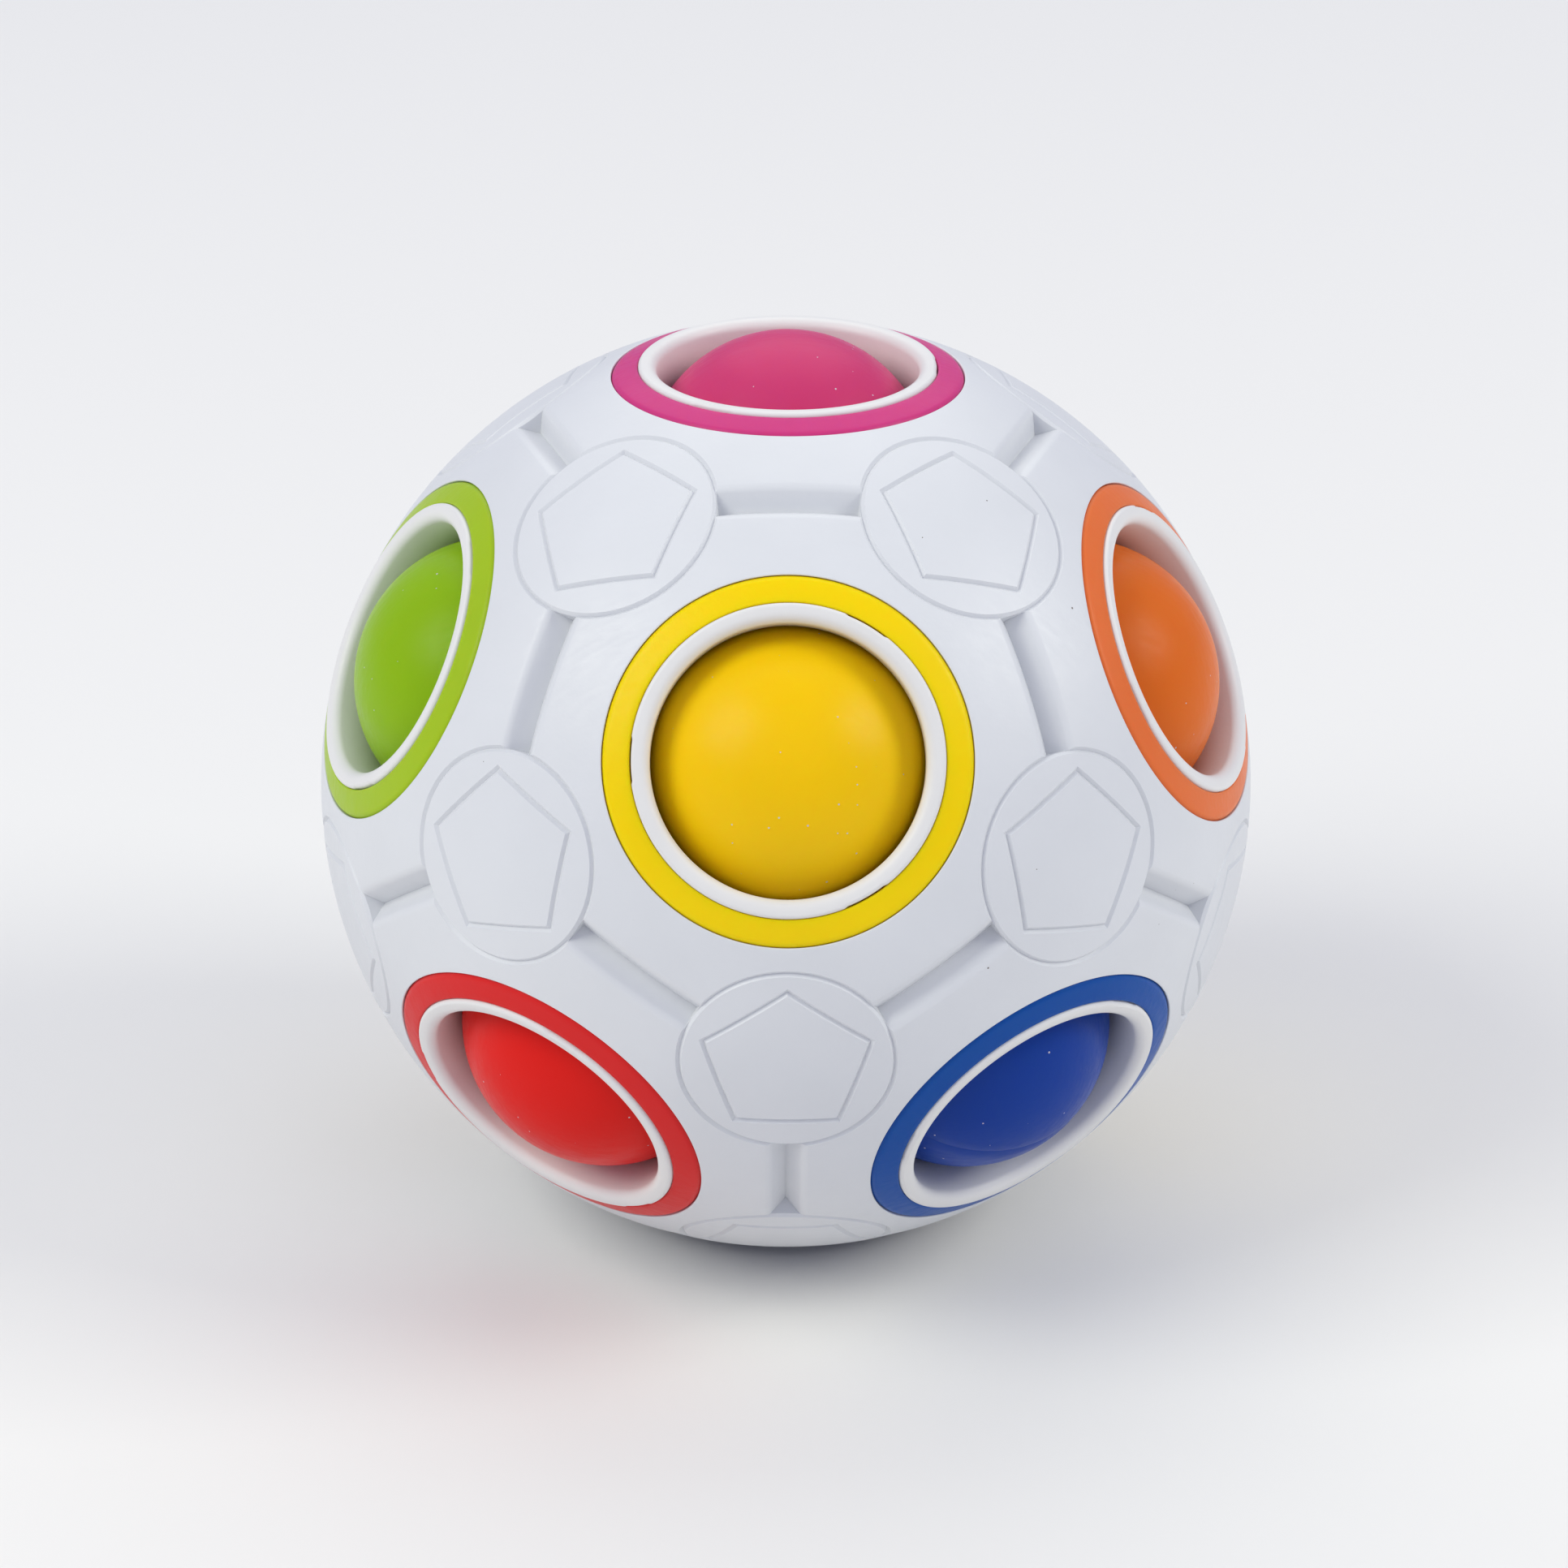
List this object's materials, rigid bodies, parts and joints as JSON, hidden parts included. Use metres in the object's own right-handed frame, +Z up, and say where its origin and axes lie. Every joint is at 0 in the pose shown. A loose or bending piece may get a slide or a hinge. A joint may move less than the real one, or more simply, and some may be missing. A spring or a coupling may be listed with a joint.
{
  "type": "hollow puzzle ball with movable coloured balls",
  "caption": "Spherical hand puzzle: a white hollow shell with coloured rings round its holes, loose coloured balls behind them and one empty hole.",
  "frame": {"origin": "centre of the bottom of the bounding box: the middle of the rim of the empty hole, on the surface that the ball stands on", "axes": "+Z up through the centre of the ball and the top hole; -Y is the front, on the side of the yellow hole; +X to the right seen from the front"},
  "size_m": [0.07, 0.07, 0.0689],
  "materials": {
    "shell_white": "moulded ABS, satin",
    "bezel_white": "moulded ABS, soft gloss",
    "foam": "closed-cell foam, matte",
    "pink": "moulded plastic coloured right through, soft gloss",
    "yellow": "moulded plastic coloured right through, soft gloss",
    "orange": "moulded plastic coloured right through, soft gloss",
    "violet": "moulded plastic coloured right through, soft gloss",
    "turquoise": "moulded plastic coloured right through, soft gloss",
    "green": "moulded plastic coloured right through, soft gloss",
    "blue": "moulded plastic coloured right through, soft gloss",
    "cream": "moulded plastic coloured right through, soft gloss",
    "sky": "moulded plastic coloured right through, soft gloss",
    "brown": "moulded plastic coloured right through, soft gloss",
    "red": "moulded plastic coloured right through, soft gloss",
    "grey": "moulded plastic coloured right through, soft gloss"
  },
  "bodies": {
    "casing": {"shell_front": "shell_white", "shell_rear": "shell_white", "core_ball": "foam", "ring_pink": "pink", "bezel_pink": "bezel_white", "ring_yellow": "yellow", "bezel_yellow": "bezel_white", "ring_orange": "orange", "bezel_orange": "bezel_white", "ring_violet": "violet", "bezel_violet": "bezel_white", "ring_turquoise": "turquoise", "bezel_turquoise": "bezel_white", "ring_green": "green", "bezel_green": "bezel_white", "ring_blue": "blue", "bezel_blue": "bezel_white", "ring_cream": "cream", "bezel_cream": "bezel_white", "ring_sky": "sky", "bezel_sky": "bezel_white", "ring_brown": "brown", "bezel_brown": "bezel_white", "ring_red": "red", "bezel_red": "bezel_white", "ring_grey": "grey", "bezel_grey": "bezel_white"},
    "ball_pink": {"ball_pink_outer": "pink", "ball_pink_inner": "pink"},
    "ball_yellow": {"ball_yellow_outer": "yellow", "ball_yellow_inner": "yellow"},
    "ball_orange": {"ball_orange_outer": "orange", "ball_orange_inner": "orange"},
    "ball_violet": {"ball_violet_outer": "violet", "ball_violet_inner": "violet"},
    "ball_turquoise": {"ball_turquoise_outer": "turquoise", "ball_turquoise_inner": "turquoise"},
    "ball_green": {"ball_green_outer": "green", "ball_green_inner": "green"},
    "ball_blue": {"ball_blue_outer": "blue", "ball_blue_inner": "blue"},
    "ball_cream": {"ball_cream_outer": "cream", "ball_cream_inner": "cream"},
    "ball_sky": {"ball_sky_outer": "sky", "ball_sky_inner": "sky"},
    "ball_brown": {"ball_brown_outer": "brown", "ball_brown_inner": "brown"},
    "ball_red": {"ball_red_outer": "red", "ball_red_inner": "red"}
  },
  "joints": [
    {"name": "press_pink", "type": "slide", "parent": "casing", "child": "ball_pink", "axis": [0, 0, -1], "range_m": [0, 0.003], "stiffness_N_per_m": 1500, "springref_m": -0.0004, "deforming": ["core_ball"]},
    {"name": "press_yellow", "type": "slide", "parent": "casing", "child": "ball_yellow", "axis": [0, 0.8944, -0.4472], "range_m": [0, 0.003], "stiffness_N_per_m": 1500, "springref_m": -0.0004, "deforming": ["core_ball"]},
    {"name": "press_orange", "type": "slide", "parent": "casing", "child": "ball_orange", "axis": [-0.8507, 0.2764, -0.4472], "range_m": [0, 0.003], "stiffness_N_per_m": 1500, "springref_m": -0.0004, "deforming": ["core_ball"]},
    {"name": "press_violet", "type": "slide", "parent": "casing", "child": "ball_violet", "axis": [-0.5257, -0.7236, -0.4472], "range_m": [0, 0.003], "stiffness_N_per_m": 1500, "springref_m": -0.0004, "deforming": ["core_ball"]},
    {"name": "press_turquoise", "type": "slide", "parent": "casing", "child": "ball_turquoise", "axis": [0.5257, -0.7236, -0.4472], "range_m": [0, 0.003], "stiffness_N_per_m": 1500, "springref_m": -0.0004, "deforming": ["core_ball"]},
    {"name": "press_green", "type": "slide", "parent": "casing", "child": "ball_green", "axis": [0.8507, 0.2764, -0.4472], "range_m": [0, 0.003], "stiffness_N_per_m": 1500, "springref_m": -0.0004, "deforming": ["core_ball"]},
    {"name": "press_cream", "type": "slide", "parent": "casing", "child": "ball_cream", "axis": [-0.8507, -0.2764, 0.4472], "range_m": [0, 0.003], "stiffness_N_per_m": 1500, "springref_m": -0.0004, "deforming": ["core_ball"]},
    {"name": "press_sky", "type": "slide", "parent": "casing", "child": "ball_sky", "axis": [0, -0.8944, 0.4472], "range_m": [0, 0.003], "stiffness_N_per_m": 1500, "springref_m": -0.0004, "deforming": ["core_ball"]},
    {"name": "press_brown", "type": "slide", "parent": "casing", "child": "ball_brown", "axis": [0.8507, -0.2764, 0.4472], "range_m": [0, 0.003], "stiffness_N_per_m": 1500, "springref_m": -0.0004, "deforming": ["core_ball"]},
    {"name": "press_red", "type": "slide", "parent": "casing", "child": "ball_red", "axis": [0.5257, 0.7236, 0.4472], "range_m": [0, 0.003], "stiffness_N_per_m": 1500, "springref_m": -0.0004, "deforming": ["core_ball"]},
    {"name": "transfer_blue", "type": "hinge", "parent": "casing", "child": "ball_blue", "pos_m": [0.01304, -0.01795, -0.00242], "axis": [-0.809, -0.5878, 0], "range_deg": [0, 63.43], "deforming": ["core_ball"]}
  ]
}
